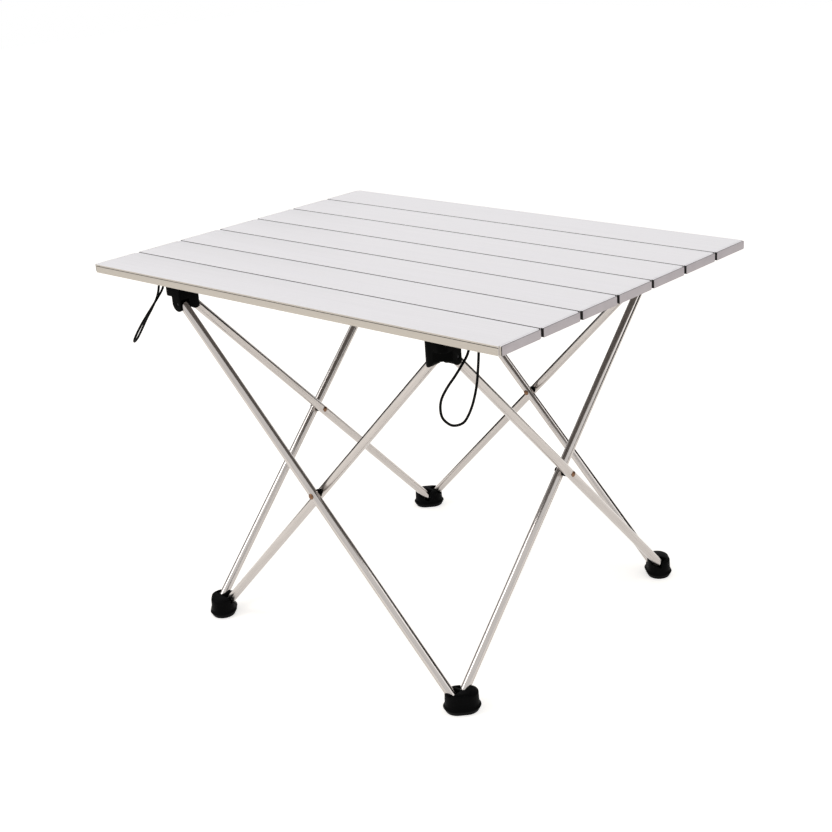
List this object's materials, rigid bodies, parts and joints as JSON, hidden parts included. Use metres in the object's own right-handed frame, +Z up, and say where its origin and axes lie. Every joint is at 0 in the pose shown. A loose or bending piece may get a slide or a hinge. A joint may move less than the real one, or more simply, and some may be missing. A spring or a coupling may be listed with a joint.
{
  "type": "folding side table",
  "caption": "Low camping side table with a slatted roll-up aluminium top resting on a folding frame of crossed tubular legs.",
  "frame": {"origin": "on the floor, under the middle of the tabletop", "axes": "+X along the slats, +Z up; -Y is the front, the side with the cord loops"},
  "size_m": [0.56, 0.4132, 0.408],
  "materials": {
    "slat_aluminium": "fine-brushed, clear anodised",
    "cap_plastic": "matt moulded",
    "black_nylon": "fine-textured moulded",
    "tube_aluminium": "satin drawn tube",
    "elastic_cord": "woven sheath",
    "steel": "plain",
    "bronze": "dark bronze"
  },
  "bodies": {
    "tabletop_slat_1": {"slat_1": "slat_aluminium", "end_caps_1": "cap_plastic", "elastic_cord_1": "elastic_cord", "front_brackets": "black_nylon", "front_bracket_screws": "steel", "cord_loop_left": "elastic_cord", "cord_loop_right": "elastic_cord"},
    "tabletop_slat_2": {"slat_2": "slat_aluminium", "end_caps_2": "cap_plastic", "elastic_cord_2": "elastic_cord"},
    "tabletop_slat_3": {"slat_3": "slat_aluminium", "end_caps_3": "cap_plastic", "elastic_cord_3": "elastic_cord"},
    "tabletop_slat_4": {"slat_4": "slat_aluminium", "end_caps_4": "cap_plastic", "elastic_cord_4": "elastic_cord"},
    "tabletop_slat_5": {"slat_5": "slat_aluminium", "end_caps_5": "cap_plastic", "elastic_cord_5": "elastic_cord"},
    "tabletop_slat_6": {"slat_6": "slat_aluminium", "end_caps_6": "cap_plastic", "elastic_cord_6": "elastic_cord"},
    "tabletop_slat_7": {"slat_7": "slat_aluminium", "end_caps_7": "cap_plastic", "elastic_cord_7": "elastic_cord", "rear_brackets": "black_nylon", "rear_bracket_screws": "steel"},
    "hub_front_left": {"hub_front_left": "black_nylon", "hub_pins_front_left": "steel"},
    "hub_front_right": {"hub_front_right": "black_nylon", "hub_pins_front_right": "steel"},
    "hub_rear_right": {"hub_rear_right": "black_nylon", "hub_pins_rear_right": "steel"},
    "hub_rear_left": {"hub_rear_left": "black_nylon", "hub_pins_rear_left": "steel"},
    "outer_leg_front": {"outer_leg_front": "tube_aluminium", "rivet_front": "bronze", "spacer_front": "black_nylon"},
    "outer_leg_right": {"outer_leg_right": "tube_aluminium", "rivet_right": "bronze", "spacer_right": "black_nylon"},
    "outer_leg_rear": {"outer_leg_rear": "tube_aluminium", "rivet_rear": "bronze", "spacer_rear": "black_nylon"},
    "outer_leg_left": {"outer_leg_left": "tube_aluminium", "rivet_left": "bronze", "spacer_left": "black_nylon"},
    "inner_leg_front": {"inner_leg_front": "tube_aluminium"},
    "inner_leg_right": {"inner_leg_right": "tube_aluminium"},
    "inner_leg_rear": {"inner_leg_rear": "tube_aluminium"},
    "inner_leg_left": {"inner_leg_left": "tube_aluminium"},
    "foot_front_left": {"foot_front_left": "black_nylon", "foot_pins_front_left": "steel"},
    "foot_front_right": {"foot_front_right": "black_nylon", "foot_pins_front_right": "steel"},
    "foot_rear_right": {"foot_rear_right": "black_nylon", "foot_pins_rear_right": "steel"},
    "foot_rear_left": {"foot_rear_left": "black_nylon", "foot_pins_rear_left": "steel"}
  },
  "joints": [
    {"name": "frame_fold", "type": "hinge", "parent": "hub_front_left", "child": "outer_leg_front", "pos_m": [-0.1695, -0.1815, 0.374], "axis": [0, 1, 0], "range_deg": [0, 39]},
    {"name": "front_crossing", "type": "hinge", "parent": "outer_leg_front", "child": "inner_leg_front", "pos_m": [0.004, -0.1755, 0.1945], "axis": [0, -1, 0], "range_deg": [0, 78]},
    {"name": "foot_front_right_pivot", "type": "hinge", "parent": "outer_leg_front", "child": "foot_front_right", "pos_m": [0.1775, -0.1815, 0.015], "axis": [0, -1, 0], "range_deg": [0, 39]},
    {"name": "foot_front_left_pivot", "type": "hinge", "parent": "inner_leg_front", "child": "foot_front_left", "pos_m": [-0.1695, -0.1695, 0.015], "axis": [0, 1, 0], "range_deg": [0, 39]},
    {"name": "hub_front_right_pivot", "type": "hinge", "parent": "inner_leg_front", "child": "hub_front_right", "pos_m": [0.1775, -0.1695, 0.374], "axis": [0, 1, 0], "range_deg": [0, 39]},
    {"name": "right_leg_pivot", "type": "hinge", "parent": "hub_front_right", "child": "outer_leg_right", "pos_m": [0.1915, -0.1675, 0.374], "axis": [-1, 0, 0], "range_deg": [0, 39]},
    {"name": "right_crossing", "type": "hinge", "parent": "outer_leg_right", "child": "inner_leg_right", "pos_m": [0.1855, 0.006, 0.1945], "axis": [1, 0, 0], "range_deg": [0, 78]},
    {"name": "foot_rear_right_pivot", "type": "hinge", "parent": "outer_leg_right", "child": "foot_rear_right", "pos_m": [0.1915, 0.1795, 0.015], "axis": [1, 0, 0], "range_deg": [0, 39]},
    {"name": "hub_rear_right_pivot", "type": "hinge", "parent": "inner_leg_right", "child": "hub_rear_right", "pos_m": [0.1795, 0.1795, 0.374], "axis": [-1, 0, 0], "range_deg": [0, 39]},
    {"name": "left_leg_pivot", "type": "hinge", "parent": "hub_front_left", "child": "inner_leg_left", "pos_m": [-0.1715, -0.1675, 0.374], "axis": [-1, 0, 0], "range_deg": [0, 39]},
    {"name": "left_crossing", "type": "hinge", "parent": "inner_leg_left", "child": "outer_leg_left", "pos_m": [-0.1775, 0.006, 0.1945], "axis": [1, 0, 0], "range_deg": [0, 78]},
    {"name": "foot_rear_left_pivot", "type": "hinge", "parent": "inner_leg_left", "child": "foot_rear_left", "pos_m": [-0.1715, 0.1795, 0.015], "axis": [1, 0, 0], "range_deg": [0, 39]},
    {"name": "hub_rear_left_pivot", "type": "hinge", "parent": "outer_leg_left", "child": "hub_rear_left", "pos_m": [-0.1835, 0.1795, 0.374], "axis": [-1, 0, 0], "range_deg": [0, 39]},
    {"name": "rear_leg_pivot", "type": "hinge", "parent": "hub_rear_left", "child": "inner_leg_rear", "pos_m": [-0.1695, 0.1815, 0.374], "axis": [0, 1, 0], "range_deg": [0, 39]},
    {"name": "rear_crossing", "type": "hinge", "parent": "inner_leg_rear", "child": "outer_leg_rear", "pos_m": [0.004, 0.1875, 0.1945], "axis": [0, -1, 0], "range_deg": [0, 78]},
    {"name": "tabletop_lift", "type": "slide", "parent": "hub_front_left", "child": "tabletop_slat_4", "axis": [0, 0, 1], "range_m": [0, 0.3]},
    {"name": "tabletop_roll", "type": "hinge", "parent": "tabletop_slat_4", "child": "tabletop_slat_3", "pos_m": [0, -0.0296, 0.408], "axis": [-1, 0, 0], "range_deg": [0, 50]},
    {"name": "slat_2_hinge", "type": "hinge", "parent": "tabletop_slat_3", "child": "tabletop_slat_2", "pos_m": [0, -0.0888, 0.408], "axis": [-1, 0, 0], "range_deg": [0, 50]},
    {"name": "slat_1_hinge", "type": "hinge", "parent": "tabletop_slat_2", "child": "tabletop_slat_1", "pos_m": [0, -0.148, 0.408], "axis": [-1, 0, 0], "range_deg": [0, 50]},
    {"name": "slat_5_hinge", "type": "hinge", "parent": "tabletop_slat_4", "child": "tabletop_slat_5", "pos_m": [0, 0.0296, 0.408], "axis": [1, 0, 0], "range_deg": [0, 50]},
    {"name": "slat_6_hinge", "type": "hinge", "parent": "tabletop_slat_5", "child": "tabletop_slat_6", "pos_m": [0, 0.0888, 0.408], "axis": [1, 0, 0], "range_deg": [0, 50]},
    {"name": "slat_7_hinge", "type": "hinge", "parent": "tabletop_slat_6", "child": "tabletop_slat_7", "pos_m": [0, 0.148, 0.408], "axis": [1, 0, 0], "range_deg": [0, 50]}
  ],
  "couplings": [
    {"joint": "front_crossing", "follows": "frame_fold", "ratio": 2},
    {"joint": "foot_front_right_pivot", "follows": "frame_fold", "ratio": 1},
    {"joint": "foot_front_left_pivot", "follows": "frame_fold", "ratio": 1},
    {"joint": "hub_front_right_pivot", "follows": "frame_fold", "ratio": 1},
    {"joint": "right_leg_pivot", "follows": "frame_fold", "ratio": 1},
    {"joint": "right_crossing", "follows": "frame_fold", "ratio": 2},
    {"joint": "foot_rear_right_pivot", "follows": "frame_fold", "ratio": 1},
    {"joint": "hub_rear_right_pivot", "follows": "frame_fold", "ratio": 1},
    {"joint": "left_leg_pivot", "follows": "frame_fold", "ratio": 1},
    {"joint": "left_crossing", "follows": "frame_fold", "ratio": 2},
    {"joint": "foot_rear_left_pivot", "follows": "frame_fold", "ratio": 1},
    {"joint": "hub_rear_left_pivot", "follows": "frame_fold", "ratio": 1},
    {"joint": "rear_leg_pivot", "follows": "frame_fold", "ratio": 1},
    {"joint": "rear_crossing", "follows": "frame_fold", "ratio": 2},
    {"joint": "slat_2_hinge", "follows": "tabletop_roll", "ratio": 1},
    {"joint": "slat_1_hinge", "follows": "tabletop_roll", "ratio": 1},
    {"joint": "slat_5_hinge", "follows": "tabletop_roll", "ratio": 1},
    {"joint": "slat_6_hinge", "follows": "tabletop_roll", "ratio": 1},
    {"joint": "slat_7_hinge", "follows": "tabletop_roll", "ratio": 1}
  ]
}
